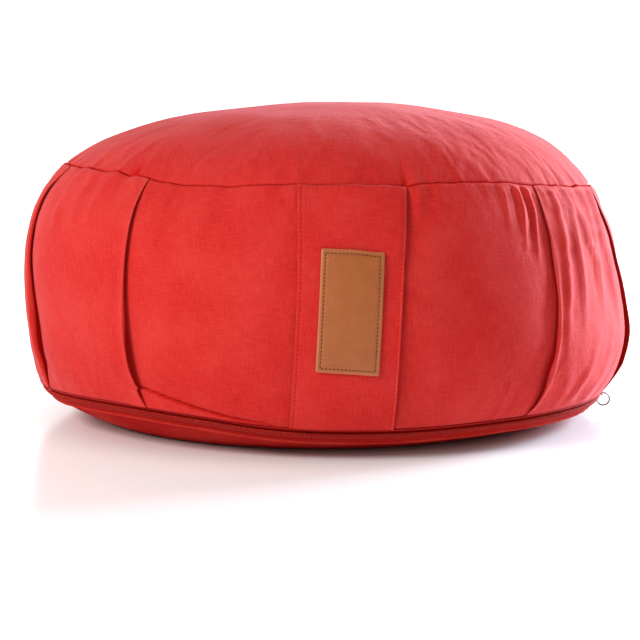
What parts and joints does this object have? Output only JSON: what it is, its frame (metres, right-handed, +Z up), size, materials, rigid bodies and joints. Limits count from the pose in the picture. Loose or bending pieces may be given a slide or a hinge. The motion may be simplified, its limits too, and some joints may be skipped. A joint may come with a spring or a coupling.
{
  "type": "meditation cushion",
  "caption": "Round pleated cotton floor cushion with a crowned top, a zip round its lower edge, a front strip and a bare leather label.",
  "frame": {"origin": "middle of the flat patch that the cushion rests on", "axes": "+Z up; the front, with the strip and the label, faces -Y; the zip's pull ring is at +X"},
  "size_m": [0.4187, 0.4222, 0.2167],
  "materials": {
    "red_cotton": "matt plain weave with slubs",
    "zip_tape": "matt woven tape",
    "zip_coil": "satin",
    "pull_steel": "worn satin",
    "tan_leather": "satin grain"
  },
  "bodies": {
    "root": {"cushion_body": "red_cotton", "top_panel": "red_cotton", "bottom_panel": "red_cotton", "front_strip": "red_cotton", "zip_tape_upper": "zip_tape", "zip_tape_lower": "zip_tape", "zip_coil": "zip_coil", "zip_slider": "pull_steel", "zip_pull_ring": "pull_steel", "leather_label": "tan_leather"}
  },
  "joints": []
}
